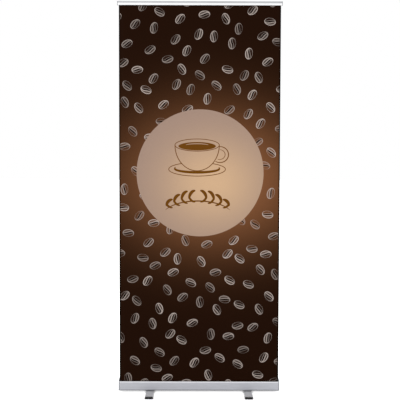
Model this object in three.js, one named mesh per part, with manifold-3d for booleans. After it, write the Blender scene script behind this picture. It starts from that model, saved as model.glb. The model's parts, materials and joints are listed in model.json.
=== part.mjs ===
import * as THREE from 'three';
import { mergeVertices } from 'three/addons/utils/BufferGeometryUtils.js';
import Module from 'manifold-3d';

// Roll-up banner stand: a printed banner drawn up out of a floor housing and held by a
// telescopic pole behind it. Millimetres, +Z up, X along the width, the front faces -Y.
// The origin is on the floor, midway between the feet.

const wasm = await Module();
wasm.setup();

// ---------------------------------------------------------------- driving dimensions

const GAP = 0.3; // clearance between pieces that touch

const BANNER_WIDTH = 850;
const BANNER_VISIBLE_HEIGHT = 1995; // from the housing lip to the underside of the rail
const BANNER_THICKNESS = 0.3;
const BANNER_SPARE_LENGTH = 100; // clamped in the rail and fixed to the roller
const BANNER_SIDE_CLEARANCE = 0.6;

const HOUSING_DEPTH = 92;
const HOUSING_LIP_HEIGHT = 51; // flat top in front of the slot
const HOUSING_HOOD_HEIGHT = 58.5; // raised top behind the slot
const HOUSING_WALL = 2;
const HOUSING_CORNER_RADIUS = 9;
const HOUSING_LIP_RADIUS = 8;
const HOUSING_HOOD_FRONT_RADIUS = 4;
const SLOT_WIDTH = 5;

const SCREW_PORT_RADIUS = 3.4;
const SCREW_PORT_INSET = 7.5; // from the outer faces to the port's centre
const SCREW_PORT_WEB = 2.4; // thickness of the web that joins a port to its wall
const CAP_SCREW_RADIUS = 1.5;
const CAP_SCREW_LENGTH = 16;
const CAP_SCREW_HEAD_RADIUS = 3;
const CAP_SCREW_HEAD_HEIGHT = 2;

const END_CAP_RIM = 2.4; // thickness at the cap's edge
const END_CAP_DOME = 3.2; // how far its middle stands past the edge
const END_CAP_ROUNDING = 2.4; // how far in from its outline the rounding starts
const END_CAP_TAB_LENGTH = 8;
const END_CAP_TAB_THICKNESS = 2;

const ROLLER_RADIUS = 11;
const ROLLER_WALL = 1;
const ROLLER_AXIS_HEIGHT = 32; // above the housing's underside
const FULL_ROLL_CLEARANCE = 0.6; // between the fully wound banner and the pole socket
const FRONT_ROLL_CLEARANCE = 3; // between the fully wound banner and the housing's front wall
const ROLLER_PLUG_LENGTH = 18;
const ROLLER_FLANGE = 1.5;
const BANNER_ROLL_THICKNESS = 2; // the turns that stay on the roller
const AXLE_RADIUS = 3;
const AXLE_INNER_LENGTH = 14; // how far the axle screw reaches into the roller
const AXLE_HEAD_RADIUS = 6;
const AXLE_HEAD_THICKNESS = 1.5;
const SPRING_ROD_LENGTH = 240;
const SPRING_RADIUS = 6.4;
const SPRING_WIRE_RADIUS = 0.6;
const SPRING_LENGTH = 190;
const SPRING_TURNS = 16;
const SPRING_STEPS_PER_TURN = 8;
const SPRING_COLLAR_LENGTH = 10;

const FOOT_PIVOT_INSET = 163.6; // from the housing's ends to the pivots
const FOOT_LENGTH = 340;
const FOOT_WIDTH = 40;
const FOOT_BAR_THICKNESS = 8;
const FOOT_BAR_CLEARANCE = 1; // the bar above the floor
const FOOT_CAP_WALL = 1;
const FOOT_CAP_LENGTH = 14;
const FOOT_CAP_END = 4;
const FOOT_GROOVE_WIDTH = 1.4;
const FOOT_GROOVE_DEPTH = 0.6;
const FOOT_GROOVE_INSET = 4.5;
const PIVOT_RADIUS = 4;
const PIVOT_HEAD_RADIUS = 8;
const PIVOT_HEAD_HEIGHT = 1.8;
const PIVOT_WASHER_RADIUS = 13;
const PIVOT_WASHER_THICKNESS = 1.9;
const PIVOT_NUT_RADIUS = 7;
const PIVOT_NUT_HEIGHT = 5;

const POLE_LOWER_RADIUS = 9.5;
const POLE_STEP = 1.5; // each section's radius is this much less than the one below
const POLE_WALL = 1;
const POLE_OVERLAP = 80;
const POLE_PLUG_FLANGE = 3;
const POLE_PLUG_SPIGOT = 12;
const POLE_FERRULE_HEIGHT = 7;
const COLLAR_HEIGHT = 37;
const COLLAR_WALL = 3.2;
const COLLAR_LIP = 3;
const COLLAR_FLUTES = 12;
const COLLAR_FLUTE_RADIUS = 1.6;

const SOCKET_WALL = 2.1;
const SOCKET_BORE_CLEARANCE = 0.4;
const SOCKET_FLOOR = 3;
const SOCKET_FLANGE_LENGTH = 54;
const SOCKET_FLANGE_WIDTH = 20;
const SOCKET_FLANGE_THICKNESS = 2.5;
const SOCKET_SCREW_SPACING = 42;
const SOCKET_SCREW_RADIUS = 1.5;
const SOCKET_SCREW_LENGTH = 8;
const SOCKET_SCREW_HEAD_RADIUS = 3;
const SOCKET_SCREW_HEAD_HEIGHT = 1.6;

const RAIL_OVERHANG = 8; // past the banner's edge at each end
const RAIL_HEIGHT = 21;
const RAIL_WALL = 2.5;
const RAIL_BEAD_RADIUS = 2.6;
const RAIL_LEDGE = 2.5;
const RAIL_CHANNEL_WIDTH = 3;
const RAIL_CHANNEL_DEPTH = 5.5;
const RAIL_CHANNEL_TOP = 14.5;
const RAIL_LIP = 1.5;
const RAIL_CAP_THICKNESS = 2.4;
const RAIL_CAP_OVERHANG = 0.5;
const RAIL_CAP_RADIUS = 3;
const GRIP_HEIGHT = 6;
const GRIP_THICKNESS = 1.6;
const BANNER_CLAMPED = 12; // how far the banner reaches up into the rail

const HOOK_WIDTH = 16;
const HOOK_ARM_THICKNESS = 4;
const HOOK_ARM_LIFT = 4; // underside of the arm above the underside of the rail
const HOOK_PLUG_LENGTH = 25;

// ---------------------------------------------------------------- places that follow from them

const HOUSING_UNDERSIDE =
  FOOT_BAR_CLEARANCE + FOOT_BAR_THICKNESS + PIVOT_WASHER_THICKNESS + 2 * GAP;
const HOUSING_LENGTH = BANNER_WIDTH + 2 * BANNER_SIDE_CLEARANCE;
const HALF_HOUSING = HOUSING_LENGTH / 2;
const FOOT_SPACING = HOUSING_LENGTH - 2 * FOOT_PIVOT_INSET;
const HOUSING_FRONT = -HOUSING_DEPTH / 2;
const HOUSING_REAR = HOUSING_DEPTH / 2;

const SOCKET_BORE = POLE_LOWER_RADIUS + SOCKET_BORE_CLEARANCE;
const SOCKET_RADIUS = SOCKET_BORE + SOCKET_WALL;
const SOCKET_HOLE_RADIUS = SOCKET_RADIUS + GAP;
const SOCKET_BOTTOM = HOUSING_WALL + GAP;
const SOCKET_FLOOR_TOP = SOCKET_BOTTOM + SOCKET_FLOOR;

// the roller sits behind the front wall, and the pole socket behind it, with room for the
// whole banner on the roller
const FULL_ROLL_RADIUS = Math.sqrt(
  ROLLER_RADIUS ** 2 + (BANNER_VISIBLE_HEIGHT + BANNER_SPARE_LENGTH) * BANNER_THICKNESS / Math.PI);
const ROLLER_Y = HOUSING_FRONT + HOUSING_WALL + FRONT_ROLL_CLEARANCE + FULL_ROLL_RADIUS;
const POLE_Y = ROLLER_Y + FULL_ROLL_RADIUS + FULL_ROLL_CLEARANCE + SOCKET_RADIUS;
const BANNER_ROLL_RADIUS = ROLLER_RADIUS + GAP + BANNER_ROLL_THICKNESS;
const BANNER_Y = ROLLER_Y - BANNER_ROLL_RADIUS - GAP - BANNER_THICKNESS / 2;
const SLOT_FRONT = BANNER_Y - SLOT_WIDTH / 2;
const SLOT_REAR = BANNER_Y + SLOT_WIDTH / 2;

const RAIL_UNDERSIDE = HOUSING_UNDERSIDE + HOUSING_LIP_HEIGHT + BANNER_VISIBLE_HEIGHT;
const RAIL_REAR_WALL = BANNER_THICKNESS / 2 + GAP + GRIP_THICKNESS + GAP; // front face of that wall
const RAIL_REAR_FACE = RAIL_REAR_WALL + RAIL_WALL;
const RAIL_LIP_FRONT = RAIL_REAR_FACE + RAIL_CHANNEL_WIDTH;
const RAIL_LIP_REAR = RAIL_LIP_FRONT + RAIL_LIP;
const RAIL_BEAD_Z = RAIL_HEIGHT - RAIL_BEAD_RADIUS;
const RAIL_LEDGE_FRONT = -1;
const RAIL_BEAD_Y = RAIL_LEDGE_FRONT - GAP - RAIL_BEAD_RADIUS;
const RAIL_FRONT = RAIL_BEAD_Y - RAIL_BEAD_RADIUS;
const RAIL_LENGTH = BANNER_WIDTH + 2 * RAIL_OVERHANG;
const JAW_LENGTH = RAIL_LENGTH - 2 * (RAIL_CAP_THICKNESS + GAP);

// pole heights are measured from the underside of the housing
const POLE_BOTTOM = SOCKET_FLOOR_TOP + GAP + POLE_PLUG_FLANGE + GAP;
const POLE_TOP = RAIL_UNDERSIDE - HOUSING_UNDERSIDE + HOOK_ARM_LIFT - GAP;
const SECTION_LENGTH = (POLE_TOP - POLE_BOTTOM + 2 * POLE_OVERLAP) / 3;
const SECTION_RISE = SECTION_LENGTH - POLE_OVERLAP;

// ---------------------------------------------------------------- shape helpers

// an outline through [u, v, radius] corners; a rounding never takes over half of a side
function roundedShape(corners) {
  const shape = new THREE.Shape();
  corners.forEach(([u, v, radius = 0], i) => {
    const corner = new THREE.Vector2(u, v);
    const toBefore = new THREE.Vector2(...corners.at(i - 1)).sub(corner);
    const toAfter = new THREE.Vector2(...corners[(i + 1) % corners.length]).sub(corner);
    const reach = Math.min(radius, toBefore.length() / 2, toAfter.length() / 2);
    const start = corner.clone().add(toBefore.setLength(reach));
    const end = corner.clone().add(toAfter.setLength(reach));
    if (i === 0) {
      shape.moveTo(start.x, start.y);
    } else {
      shape.lineTo(start.x, start.y);
    }
    if (reach > 0) {
      shape.quadraticCurveTo(u, v, end.x, end.y);
    }
  });
  shape.closePath();
  return shape;
}

function rectangle(u0, u1, v0, v1, radius = 0) {
  return roundedShape([[u0, v0, radius], [u1, v0, radius], [u1, v1, radius], [u0, v1, radius]]);
}

// a (Y, Z) section run along X from x0 to x1
function alongX(section, x0, x1, options = {}) {
  const geometry = new THREE.ExtrudeGeometry(section, {
    depth: x1 - x0, bevelEnabled: false, curveSegments: 5, ...options,
  });
  const turn = new THREE.Matrix4().makeBasis(
    new THREE.Vector3(0, 1, 0), new THREE.Vector3(0, 0, 1), new THREE.Vector3(1, 0, 0));
  return geometry.applyMatrix4(turn).translate(x0, 0, 0);
}

// an (X, Z) section run along Y from y0 to y1
function alongY(section, y0, y1) {
  const geometry = new THREE.ExtrudeGeometry(section, {
    depth: y1 - y0, bevelEnabled: false, curveSegments: 4,
  });
  return geometry.rotateX(Math.PI / 2).translate(0, y1, 0);
}

// an (X, Y) section run up Z from z0 to z1
function alongZ(section, z0, z1) {
  const geometry = new THREE.ExtrudeGeometry(section, {
    depth: z1 - z0, bevelEnabled: false, curveSegments: 6,
  });
  return geometry.translate(0, 0, z0);
}

function block(x0, x1, y0, y1, z0, z1) {
  const geometry = new THREE.BoxGeometry(x1 - x0, y1 - y0, z1 - z0);
  return geometry.translate((x0 + x1) / 2, (y0 + y1) / 2, (z0 + z1) / 2);
}

// a solid turned about Z from [radius, z] points given bottom to top
function turned(points, segments = 32) {
  const profile = points.map(([radius, z]) => new THREE.Vector2(radius, z));
  return new THREE.LatheGeometry(profile, segments).rotateX(Math.PI / 2);
}

function rod(radius, z0, z1, segments = 32) {
  return turned([[0, z0], [radius, z0], [radius, z1], [0, z1]], segments);
}

function ring(inner, outer, z0, z1, segments = 32) {
  return turned([[inner, z0], [outer, z0], [outer, z1], [inner, z1], [inner, z0]], segments);
}

// lays a solid that stands on Z down along X, its z becoming x
function lieAlongX(geometry) {
  return geometry.rotateY(Math.PI / 2);
}

function solid(geometry) {
  const bare = geometry.clone();
  bare.deleteAttribute('normal');
  bare.deleteAttribute('uv');
  const merged = mergeVertices(bare);
  return new wasm.Manifold(new wasm.Mesh({
    numProp: 3,
    vertProperties: new Float32Array(merged.attributes.position.array),
    triVerts: new Uint32Array(merged.index.array),
  }));
}

function shaped(body, { add = [], cut = [] }) {
  let result = solid(body);
  for (const geometry of add) {
    result = result.add(solid(geometry));
  }
  for (const geometry of cut) {
    result = result.subtract(solid(geometry));
  }
  const mesh = result.getMesh();
  const geometry = new THREE.BufferGeometry();
  geometry.setAttribute('position', new THREE.BufferAttribute(mesh.vertProperties, 3));
  geometry.setIndex(new THREE.BufferAttribute(mesh.triVerts, 1));
  return geometry;
}

// ---------------------------------------------------------------- finishes

const FINISHES = {
  anodised: { color: 0xb4b6bc, roughness: 0.38, metalness: 0.9 },
  polished: { color: 0xd9dadf, roughness: 0.25, metalness: 0.95 },
  steel: { color: 0x9a9ca0, roughness: 0.3, metalness: 1 },
  greyPlastic: { color: 0x8c8e92, roughness: 0.55, metalness: 0 },
  blackPlastic: { color: 0x17181a, roughness: 0.5, metalness: 0 },
  nylon: { color: 0xd8d6cd, roughness: 0.6, metalness: 0 },
  rubber: { color: 0x202020, roughness: 0.85, metalness: 0 },
  print: { color: 0x2a170c, roughness: 0.55, metalness: 0 },
};

function piece(name, geometry, finish) {
  const mesh = new THREE.Mesh(geometry, new THREE.MeshStandardMaterial(FINISHES[finish]));
  mesh.name = name;
  return mesh;
}

// ---------------------------------------------------------------- housing

function housingSection() {
  return roundedShape([
    [HOUSING_FRONT, 0, HOUSING_CORNER_RADIUS],
    [HOUSING_REAR, 0, HOUSING_CORNER_RADIUS],
    [HOUSING_REAR, HOUSING_HOOD_HEIGHT, HOUSING_LIP_RADIUS],
    [SLOT_REAR, HOUSING_HOOD_HEIGHT, HOUSING_HOOD_FRONT_RADIUS],
    [SLOT_REAR, HOUSING_LIP_HEIGHT],
    [HOUSING_FRONT, HOUSING_LIP_HEIGHT, HOUSING_LIP_RADIUS],
  ]);
}

function cavitySection() {
  const wall = HOUSING_WALL;
  return roundedShape([
    [HOUSING_FRONT + wall, wall, HOUSING_CORNER_RADIUS - wall],
    [HOUSING_REAR - wall, wall, HOUSING_CORNER_RADIUS - wall],
    [HOUSING_REAR - wall, HOUSING_HOOD_HEIGHT - wall, HOUSING_LIP_RADIUS - wall],
    [SLOT_REAR + wall, HOUSING_HOOD_HEIGHT - wall, HOUSING_HOOD_FRONT_RADIUS - wall],
    [SLOT_REAR + wall, HOUSING_LIP_HEIGHT - wall],
    [HOUSING_FRONT + wall, HOUSING_LIP_HEIGHT - wall, HOUSING_LIP_RADIUS - wall],
  ]);
}

// centres, as [y, z], of the two ports that take the end cap screws, and the height of the
// middle of the wall that each hangs on
const SCREW_PORTS = [
  [HOUSING_FRONT + SCREW_PORT_INSET, SCREW_PORT_INSET, HOUSING_WALL / 2],
  [HOUSING_REAR - SCREW_PORT_INSET, HOUSING_HOOD_HEIGHT - SCREW_PORT_INSET,
    HOUSING_HOOD_HEIGHT - HOUSING_WALL / 2],
];

function housing() {
  const ports = SCREW_PORTS.map(([y, z]) =>
    lieAlongX(rod(SCREW_PORT_RADIUS, -HALF_HOUSING, HALF_HOUSING, 16)).translate(0, y, z));
  const webs = SCREW_PORTS.map(([y, z, wallMiddle]) =>
    block(-HALF_HOUSING, HALF_HOUSING, y - SCREW_PORT_WEB / 2, y + SCREW_PORT_WEB / 2,
      Math.min(z, wallMiddle), Math.max(z, wallMiddle)));
  const threads = SCREW_PORTS.map(([y, z]) =>
    lieAlongX(rod(CAP_SCREW_RADIUS + GAP, -HALF_HOUSING - 1, HALF_HOUSING + 1, 12)).translate(0, y, z));
  const pivots = [-1, 1].map((side) =>
    rod(PIVOT_RADIUS + GAP, -1, HOUSING_WALL + 1, 24).translate(side * FOOT_SPACING / 2, 0, 0));
  const socketScrews = [-1, 1].map((side) =>
    rod(SOCKET_SCREW_RADIUS + GAP, HOUSING_HOOD_HEIGHT - HOUSING_WALL - 1, HOUSING_HOOD_HEIGHT + 1, 12)
      .translate(side * SOCKET_SCREW_SPACING / 2, POLE_Y, 0));
  const bare = shaped(alongX(housingSection(), -HALF_HOUSING, HALF_HOUSING), {
    cut: [alongX(cavitySection(), -HALF_HOUSING - 1, HALF_HOUSING + 1)],
  });
  return shaped(bare, {
    add: [...ports, ...webs],
    cut: [
      ...threads, ...pivots, ...socketScrews,
      block(-HALF_HOUSING - 1, HALF_HOUSING + 1, SLOT_FRONT, SLOT_REAR,
        ROLLER_AXIS_HEIGHT, HOUSING_HOOD_HEIGHT + 1),
      rod(SOCKET_HOLE_RADIUS, HOUSING_WALL, HOUSING_HOOD_HEIGHT + 1).translate(0, POLE_Y, 0),
    ],
  });
}

// the right end cap; the left one is its mirror image
function endCap() {
  const outerFace = HALF_HOUSING + END_CAP_RIM + END_CAP_DOME;
  const innerFace = HALF_HOUSING + GAP;
  const tabStart = innerFace - END_CAP_TAB_LENGTH;
  const inset = HOUSING_WALL + GAP;
  const dome = {
    bevelEnabled: true, bevelThickness: END_CAP_DOME, bevelSize: END_CAP_ROUNDING,
    bevelOffset: -END_CAP_ROUNDING, bevelSegments: 3,
  };
  const plate = alongX(housingSection(), innerFace, outerFace - END_CAP_DOME, dome);
  const floorTab = block(tabStart, innerFace + 1, -HOUSING_DEPTH / 4, HOUSING_DEPTH / 4,
    inset, inset + END_CAP_TAB_THICKNESS);
  const rearTab = block(tabStart, innerFace + 1,
    HOUSING_REAR - inset - END_CAP_TAB_THICKNESS, HOUSING_REAR - inset,
    HOUSING_HOOD_HEIGHT / 4, HOUSING_HOOD_HEIGHT / 2);
  const screwHoles = SCREW_PORTS.map(([y, z]) =>
    lieAlongX(rod(CAP_SCREW_RADIUS + GAP, innerFace - 1, outerFace + 1, 12)).translate(0, y, z));
  const headSinks = SCREW_PORTS.map(([y, z]) =>
    lieAlongX(rod(CAP_SCREW_HEAD_RADIUS + GAP, outerFace - CAP_SCREW_HEAD_HEIGHT - GAP, outerFace + 1, 16))
      .translate(0, y, z));
  const inside = block(innerFace - 2 * END_CAP_DOME, innerFace,
    HOUSING_FRONT - 1, HOUSING_REAR + 1, -1, HOUSING_HOOD_HEIGHT + 1);
  const trimmed = shaped(plate, { cut: [inside] });
  return shaped(trimmed, {
    add: [floorTab, rearTab],
    cut: [
      ...screwHoles, ...headSinks,
      lieAlongX(rod(AXLE_RADIUS + GAP, innerFace - 1, outerFace + 1, 24))
        .translate(0, ROLLER_Y, ROLLER_AXIS_HEIGHT),
    ],
  });
}

function capScrew() {
  const headBottom = HALF_HOUSING + END_CAP_RIM + END_CAP_DOME - CAP_SCREW_HEAD_HEIGHT;
  return lieAlongX(turned([
    [0, headBottom - CAP_SCREW_LENGTH],
    [CAP_SCREW_RADIUS, headBottom - CAP_SCREW_LENGTH],
    [CAP_SCREW_RADIUS, headBottom],
    [CAP_SCREW_HEAD_RADIUS, headBottom],
    [CAP_SCREW_HEAD_RADIUS - 0.4, headBottom + CAP_SCREW_HEAD_HEIGHT - 0.4],
    [0, headBottom + CAP_SCREW_HEAD_HEIGHT - 0.4],
  ], 16));
}

// ---------------------------------------------------------------- roller and spring

const ROLLER_END = HALF_HOUSING - GAP - ROLLER_FLANGE - GAP;

function rollerPlug(bore) {
  const tubeInside = ROLLER_RADIUS - ROLLER_WALL - GAP;
  const flangeStart = ROLLER_END + GAP;
  return lieAlongX(turned([
    [bore, ROLLER_END - ROLLER_PLUG_LENGTH],
    [tubeInside, ROLLER_END - ROLLER_PLUG_LENGTH],
    [tubeInside, flangeStart],
    [ROLLER_RADIUS, flangeStart],
    [ROLLER_RADIUS, flangeStart + ROLLER_FLANGE],
    [bore, flangeStart + ROLLER_FLANGE],
    [bore, ROLLER_END - ROLLER_PLUG_LENGTH],
  ]));
}

function axleScrew() {
  const headStart = HALF_HOUSING + END_CAP_RIM + END_CAP_DOME + GAP;
  return lieAlongX(turned([
    [0, ROLLER_END - AXLE_INNER_LENGTH],
    [AXLE_RADIUS, ROLLER_END - AXLE_INNER_LENGTH],
    [AXLE_RADIUS, headStart],
    [AXLE_HEAD_RADIUS, headStart],
    [AXLE_HEAD_RADIUS - 0.5, headStart + AXLE_HEAD_THICKNESS],
    [0, headStart + AXLE_HEAD_THICKNESS],
  ], 24));
}

function springWire(x0) {
  const points = [];
  const steps = SPRING_TURNS * SPRING_STEPS_PER_TURN;
  for (let i = 0; i <= steps; i += 1) {
    const angle = (i / steps) * SPRING_TURNS * 2 * Math.PI;
    points.push(new THREE.Vector3(
      x0 + (i / steps) * SPRING_LENGTH,
      SPRING_RADIUS * Math.cos(angle),
      SPRING_RADIUS * Math.sin(angle),
    ));
  }
  const section = new THREE.Shape();
  section.absarc(0, 0, SPRING_WIRE_RADIUS, 0, 2 * Math.PI, false);
  return new THREE.ExtrudeGeometry(section, {
    steps, curveSegments: 3, bevelEnabled: false,
    extrudePath: new THREE.CatmullRomCurve3(points),
  });
}

// ---------------------------------------------------------------- swivel feet

function footBar() {
  const half = FOOT_WIDTH / 2;
  const bottom = FOOT_BAR_CLEARANCE;
  const top = bottom + FOOT_BAR_THICKNESS;
  const reach = FOOT_LENGTH / 2 - FOOT_CAP_END;
  const section = rectangle(-half, half, bottom, top, 1.2);
  const grooves = [-1, 1].map((side) => {
    const x = side * (half - FOOT_GROOVE_INSET);
    return block(x - FOOT_GROOVE_WIDTH / 2, x + FOOT_GROOVE_WIDTH / 2, -reach - 1, reach + 1,
      top - FOOT_GROOVE_DEPTH, top + 1);
  });
  return shaped(alongY(section, -reach, reach), {
    cut: [
      ...grooves,
      rod(PIVOT_RADIUS + GAP, bottom - 1, top + 1, 24),
      rod(PIVOT_HEAD_RADIUS + GAP, bottom - 1, bottom + PIVOT_HEAD_HEIGHT + 2 * GAP, 24),
    ],
  });
}

// the front cap of a foot; the rear one is the same piece turned round
function footCap() {
  const half = FOOT_WIDTH / 2 + GAP + FOOT_CAP_WALL;
  const tip = -FOOT_LENGTH / 2;
  const barBottom = FOOT_BAR_CLEARANCE;
  const barTop = barBottom + FOOT_BAR_THICKNESS;
  const outline = roundedShape([
    [-half, tip, 4], [half, tip, 4], [half, tip + FOOT_CAP_LENGTH], [-half, tip + FOOT_CAP_LENGTH],
  ]);
  const pocket = rectangle(-FOOT_WIDTH / 2 - GAP, FOOT_WIDTH / 2 + GAP, barBottom - GAP, barTop + GAP);
  return shaped(alongZ(outline, 0, barTop + FOOT_CAP_WALL), {
    cut: [alongY(pocket, tip + FOOT_CAP_END - GAP, tip + FOOT_CAP_LENGTH + 1)],
  });
}

function pivotBolt() {
  const headBottom = FOOT_BAR_CLEARANCE + GAP;
  const top = HOUSING_UNDERSIDE + HOUSING_WALL + GAP + PIVOT_NUT_HEIGHT + 1;
  return turned([
    [0, headBottom],
    [PIVOT_HEAD_RADIUS, headBottom],
    [PIVOT_HEAD_RADIUS, headBottom + PIVOT_HEAD_HEIGHT],
    [PIVOT_RADIUS, headBottom + PIVOT_HEAD_HEIGHT],
    [PIVOT_RADIUS, top],
    [0, top],
  ], 24);
}

function pivotWasher() {
  const bottom = FOOT_BAR_CLEARANCE + FOOT_BAR_THICKNESS + GAP;
  return ring(PIVOT_RADIUS + GAP, PIVOT_WASHER_RADIUS, bottom, bottom + PIVOT_WASHER_THICKNESS, 24);
}

function pivotNut() {
  const bottom = HOUSING_UNDERSIDE + HOUSING_WALL + GAP;
  return shaped(rod(PIVOT_NUT_RADIUS, bottom, bottom + PIVOT_NUT_HEIGHT, 6), {
    cut: [rod(PIVOT_RADIUS + GAP, bottom - 1, bottom + PIVOT_NUT_HEIGHT + 1, 24)],
  });
}

function foot(side) {
  const group = new THREE.Group();
  group.position.x = (side === 'left' ? -1 : 1) * FOOT_SPACING / 2;
  const rearCap = piece(`foot_${side}_cap_rear`, footCap(), 'blackPlastic');
  rearCap.rotation.z = Math.PI;
  group.add(
    piece(`foot_${side}_bar`, footBar(), 'anodised'),
    piece(`foot_${side}_cap_front`, footCap(), 'blackPlastic'),
    rearCap,
    piece(`foot_${side}_pivot_bolt`, pivotBolt(), 'steel'),
    piece(`foot_${side}_pivot_washer`, pivotWasher(), 'nylon'),
    piece(`foot_${side}_pivot_nut`, pivotNut(), 'steel'),
  );
  return group;
}

// ---------------------------------------------------------------- pole

function poleSocket() {
  const flangeBottom = HOUSING_HOOD_HEIGHT + GAP;
  const flangeTop = flangeBottom + SOCKET_FLANGE_THICKNESS;
  const flange = rectangle(-SOCKET_FLANGE_LENGTH / 2, SOCKET_FLANGE_LENGTH / 2,
    -SOCKET_FLANGE_WIDTH / 2, SOCKET_FLANGE_WIDTH / 2, 4);
  const screwHoles = [-1, 1].map((side) =>
    rod(SOCKET_SCREW_RADIUS + GAP, flangeBottom - 1, flangeTop + 1, 12)
      .translate(side * SOCKET_SCREW_SPACING / 2, 0, 0));
  return shaped(rod(SOCKET_RADIUS, SOCKET_BOTTOM, flangeTop), {
    add: [alongZ(flange, flangeBottom, flangeTop)],
    cut: [...screwHoles, rod(SOCKET_BORE, SOCKET_FLOOR_TOP, flangeTop + 1)],
  });
}

function socketScrew() {
  const headBottom = HOUSING_HOOD_HEIGHT + GAP + SOCKET_FLANGE_THICKNESS + GAP;
  return turned([
    [0, headBottom - SOCKET_SCREW_LENGTH],
    [SOCKET_SCREW_RADIUS, headBottom - SOCKET_SCREW_LENGTH],
    [SOCKET_SCREW_RADIUS, headBottom],
    [SOCKET_SCREW_HEAD_RADIUS, headBottom],
    [SOCKET_SCREW_HEAD_RADIUS - 0.8, headBottom + SOCKET_SCREW_HEAD_HEIGHT],
    [0, headBottom + SOCKET_SCREW_HEAD_HEIGHT],
  ], 16);
}

// section 0 is the lowest; each one starts SECTION_RISE above the one below
const sectionRadius = (section) => POLE_LOWER_RADIUS - section * POLE_STEP;
const sectionBottom = (section) => POLE_BOTTOM + section * SECTION_RISE;

function poleTube(section) {
  const radius = sectionRadius(section);
  const bottom = sectionBottom(section);
  return ring(radius - POLE_WALL, radius, bottom, bottom + SECTION_LENGTH);
}

function polePlug(section) {
  const radius = sectionRadius(section);
  const tubeBottom = sectionBottom(section);
  const flangeRadius = radius - (section === 0 ? GAP : 0);
  return turned([
    [0, tubeBottom - GAP - POLE_PLUG_FLANGE],
    [flangeRadius, tubeBottom - GAP - POLE_PLUG_FLANGE],
    [flangeRadius, tubeBottom - GAP],
    [radius - POLE_WALL - GAP, tubeBottom - GAP],
    [radius - POLE_WALL - GAP, tubeBottom + POLE_PLUG_SPIGOT],
    [0, tubeBottom + POLE_PLUG_SPIGOT],
  ]);
}

function poleFerrule(section) {
  const bottom = sectionBottom(section) + SECTION_LENGTH + GAP;
  return ring(sectionRadius(section + 1) + GAP, sectionRadius(section),
    bottom, bottom + POLE_FERRULE_HEIGHT);
}

function lockCollar(section) {
  const bore = sectionRadius(section) + GAP;
  const outer = bore + COLLAR_WALL;
  const ferruleTop = sectionBottom(section) + SECTION_LENGTH + GAP + POLE_FERRULE_HEIGHT;
  const boreTop = ferruleTop + GAP;
  const top = boreTop + COLLAR_LIP;
  const bottom = top - COLLAR_HEIGHT;
  const flutes = [];
  for (let i = 0; i < COLLAR_FLUTES; i += 1) {
    const angle = (i / COLLAR_FLUTES) * 2 * Math.PI;
    flutes.push(rod(COLLAR_FLUTE_RADIUS, bottom + COLLAR_LIP, top + 1, 10)
      .translate((outer + 0.4) * Math.cos(angle), (outer + 0.4) * Math.sin(angle), 0));
  }
  return shaped(rod(outer, bottom, top, 36), {
    cut: [
      ...flutes,
      rod(bore, bottom - 1, boreTop),
      rod(sectionRadius(section + 1) + GAP, bottom - 1, top + 1),
    ],
  });
}

function poleHook() {
  const armBottom = POLE_TOP + GAP;
  const armTop = armBottom + HOOK_ARM_THICKNESS;
  const fingerFront = BANNER_Y + RAIL_REAR_FACE + 2 * GAP - POLE_Y;
  const fingerRear = BANNER_Y + RAIL_LIP_FRONT - 2 * GAP - POLE_Y;
  const fingerTop = RAIL_UNDERSIDE - HOUSING_UNDERSIDE + RAIL_CHANNEL_TOP - 2 * GAP;
  const headRadius = sectionRadius(2) + 1.5;
  return shaped(rod(headRadius, armBottom, armTop), {
    add: [
      block(-HOOK_WIDTH / 2, HOOK_WIDTH / 2, fingerFront, 0, armBottom, armTop),
      block(-HOOK_WIDTH / 2, HOOK_WIDTH / 2, fingerFront, fingerRear, armBottom, fingerTop),
      rod(sectionRadius(2) - POLE_WALL - GAP, armBottom - HOOK_PLUG_LENGTH, armBottom + 1),
    ],
  });
}

function pole() {
  const group = new THREE.Group();
  group.position.set(0, POLE_Y, HOUSING_UNDERSIDE);
  const screwLeft = piece('socket_screw_left', socketScrew(), 'steel');
  const screwRight = piece('socket_screw_right', socketScrew(), 'steel');
  screwLeft.position.x = -SOCKET_SCREW_SPACING / 2;
  screwRight.position.x = SOCKET_SCREW_SPACING / 2;
  group.add(
    piece('pole_socket', poleSocket(), 'blackPlastic'),
    screwLeft,
    screwRight,
    piece('pole_hook', poleHook(), 'blackPlastic'),
  );
  ['lower', 'middle', 'upper'].forEach((name, section) => {
    group.add(piece(`pole_${name}_tube`, poleTube(section), 'anodised'));
    group.add(piece(`pole_${name}_plug`, polePlug(section), 'nylon'));
  });
  ['lower', 'upper'].forEach((name, section) => {
    group.add(piece(`lock_${name}_ferrule`, poleFerrule(section), 'nylon'));
    group.add(piece(`lock_${name}_collar`, lockCollar(section), 'blackPlastic'));
  });
  return group;
}

// ---------------------------------------------------------------- clamp rail

function rearJaw() {
  const section = roundedShape([
    [RAIL_REAR_WALL, 0],
    [RAIL_REAR_FACE, 0],
    [RAIL_REAR_FACE, RAIL_CHANNEL_TOP],
    [RAIL_LIP_FRONT, RAIL_CHANNEL_TOP],
    [RAIL_LIP_FRONT, RAIL_CHANNEL_TOP - RAIL_CHANNEL_DEPTH],
    [RAIL_LIP_REAR, RAIL_CHANNEL_TOP - RAIL_CHANNEL_DEPTH],
    [RAIL_LIP_REAR, RAIL_CHANNEL_TOP + RAIL_LEDGE, 1],
    [RAIL_REAR_FACE, RAIL_CHANNEL_TOP + RAIL_LEDGE],
    [RAIL_REAR_FACE, RAIL_HEIGHT, 1],
    [RAIL_LEDGE_FRONT, RAIL_HEIGHT],
    [RAIL_LEDGE_FRONT, RAIL_HEIGHT - RAIL_LEDGE],
    [RAIL_REAR_WALL, RAIL_HEIGHT - RAIL_LEDGE],
  ]);
  return alongX(section, -JAW_LENGTH / 2, JAW_LENGTH / 2);
}

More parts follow.
